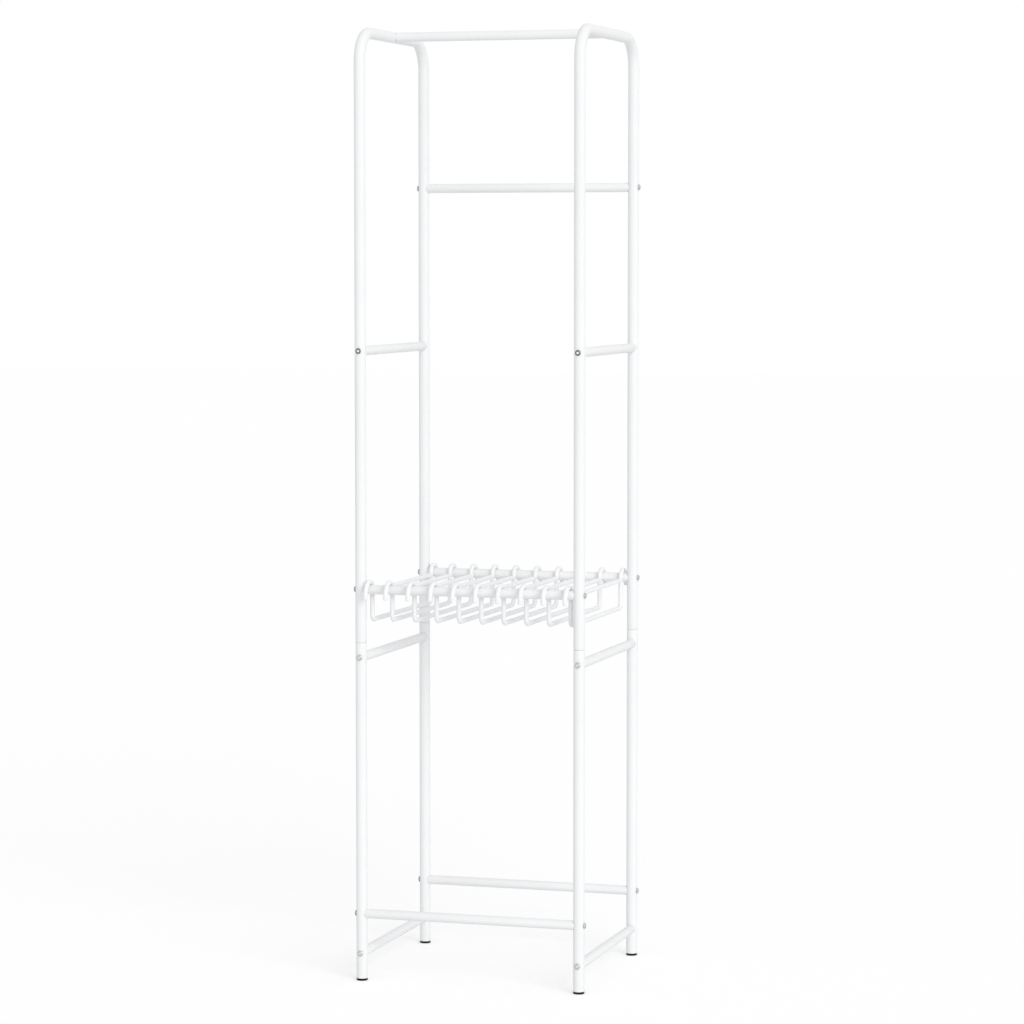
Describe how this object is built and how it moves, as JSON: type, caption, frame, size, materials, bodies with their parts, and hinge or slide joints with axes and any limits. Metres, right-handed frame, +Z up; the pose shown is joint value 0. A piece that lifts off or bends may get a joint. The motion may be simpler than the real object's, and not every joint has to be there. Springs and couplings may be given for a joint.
{
  "type": "freestanding clothing rack",
  "caption": "Tall narrow clothing rack of bolted white steel tube, with a top rail between bent side frames and rod trouser hangers that slide along two lower tubes.",
  "frame": {"origin": "on the floor, in the middle of the footprint", "axes": "+Z up; X along the rails, with the left frame at -X; the front of the rack faces -Y"},
  "size_m": [0.406, 0.394, 1.608],
  "materials": {
    "white_powder_coat": "satin white powder coat",
    "white_rod_coat": "smooth white coat on steel rod",
    "black_plastic": "moulded black plastic",
    "zinc_bolt": "bright zinc plate",
    "steel_sleeve": "bare drawn steel tube"
  },
  "bodies": {
    "frame": {"left_upper_frame": "white_powder_coat", "right_upper_frame": "white_powder_coat", "front_left_lower_post": "white_powder_coat", "front_right_lower_post": "white_powder_coat", "rear_left_lower_post": "white_powder_coat", "rear_right_lower_post": "white_powder_coat", "top_rail": "white_powder_coat", "rear_upper_rail": "white_powder_coat", "front_hanger_tube": "white_powder_coat", "rear_hanger_tube": "white_powder_coat", "front_bottom_rail": "white_powder_coat", "rear_bottom_rail": "white_powder_coat", "left_upper_side_bar": "white_powder_coat", "left_middle_side_bar": "white_powder_coat", "left_low_side_bar": "white_powder_coat", "right_upper_side_bar": "white_powder_coat", "right_middle_side_bar": "white_powder_coat", "right_low_side_bar": "white_powder_coat", "front_left_post_connector": "steel_sleeve", "front_right_post_connector": "steel_sleeve", "rear_left_post_connector": "steel_sleeve", "rear_right_post_connector": "steel_sleeve", "front_left_foot": "black_plastic", "front_right_foot": "black_plastic", "rear_left_foot": "black_plastic", "rear_right_foot": "black_plastic", "rear_upper_rail_left_bolt": "zinc_bolt", "rear_upper_rail_right_bolt": "zinc_bolt", "front_hanger_tube_left_bolt": "zinc_bolt", "front_hanger_tube_right_bolt": "zinc_bolt", "rear_hanger_tube_left_bolt": "zinc_bolt", "rear_hanger_tube_right_bolt": "zinc_bolt", "front_bottom_rail_left_bolt": "zinc_bolt", "front_bottom_rail_right_bolt": "zinc_bolt", "rear_bottom_rail_left_bolt": "zinc_bolt", "rear_bottom_rail_right_bolt": "zinc_bolt", "left_upper_side_bar_front_bolt": "zinc_bolt", "left_upper_side_bar_rear_bolt": "zinc_bolt", "left_middle_side_bar_front_bolt": "zinc_bolt", "left_middle_side_bar_rear_bolt": "zinc_bolt", "left_low_side_bar_front_bolt": "zinc_bolt", "left_low_side_bar_rear_bolt": "zinc_bolt", "right_upper_side_bar_front_bolt": "zinc_bolt", "right_upper_side_bar_rear_bolt": "zinc_bolt", "right_middle_side_bar_front_bolt": "zinc_bolt", "right_middle_side_bar_rear_bolt": "zinc_bolt", "right_low_side_bar_front_bolt": "zinc_bolt", "right_low_side_bar_rear_bolt": "zinc_bolt"},
    "trouser_hanger_01": {"trouser_hanger_01": "white_rod_coat"},
    "trouser_hanger_02": {"trouser_hanger_02": "white_rod_coat"},
    "trouser_hanger_03": {"trouser_hanger_03": "white_rod_coat"},
    "trouser_hanger_04": {"trouser_hanger_04": "white_rod_coat"},
    "trouser_hanger_05": {"trouser_hanger_05": "white_rod_coat"},
    "trouser_hanger_06": {"trouser_hanger_06": "white_rod_coat"},
    "trouser_hanger_07": {"trouser_hanger_07": "white_rod_coat"},
    "trouser_hanger_08": {"trouser_hanger_08": "white_rod_coat"},
    "trouser_hanger_09": {"trouser_hanger_09": "white_rod_coat"},
    "trouser_hanger_10": {"trouser_hanger_10": "white_rod_coat"}
  },
  "joints": [
    {"name": "trouser_hanger_01_slide", "type": "slide", "parent": "frame", "child": "trouser_hanger_01", "axis": [1, 0, 0], "range_m": [-0.002, 0.026]},
    {"name": "trouser_hanger_02_slide", "type": "slide", "parent": "frame", "child": "trouser_hanger_02", "axis": [1, 0, 0], "range_m": [-0.026, 0.03]},
    {"name": "trouser_hanger_03_slide", "type": "slide", "parent": "frame", "child": "trouser_hanger_03", "axis": [1, 0, 0], "range_m": [-0.03, 0.03]},
    {"name": "trouser_hanger_04_slide", "type": "slide", "parent": "frame", "child": "trouser_hanger_04", "axis": [1, 0, 0], "range_m": [-0.03, 0.03]},
    {"name": "trouser_hanger_05_slide", "type": "slide", "parent": "frame", "child": "trouser_hanger_05", "axis": [1, 0, 0], "range_m": [-0.03, 0.03]},
    {"name": "trouser_hanger_06_slide", "type": "slide", "parent": "frame", "child": "trouser_hanger_06", "axis": [1, 0, 0], "range_m": [-0.03, 0.03]},
    {"name": "trouser_hanger_07_slide", "type": "slide", "parent": "frame", "child": "trouser_hanger_07", "axis": [1, 0, 0], "range_m": [-0.03, 0.03]},
    {"name": "trouser_hanger_08_slide", "type": "slide", "parent": "frame", "child": "trouser_hanger_08", "axis": [1, 0, 0], "range_m": [-0.03, 0.03]},
    {"name": "trouser_hanger_09_slide", "type": "slide", "parent": "frame", "child": "trouser_hanger_09", "axis": [1, 0, 0], "range_m": [-0.03, 0.0285]},
    {"name": "trouser_hanger_10_slide", "type": "slide", "parent": "frame", "child": "trouser_hanger_10", "axis": [1, 0, 0], "range_m": [-0.0285, 0.004]}
  ]
}
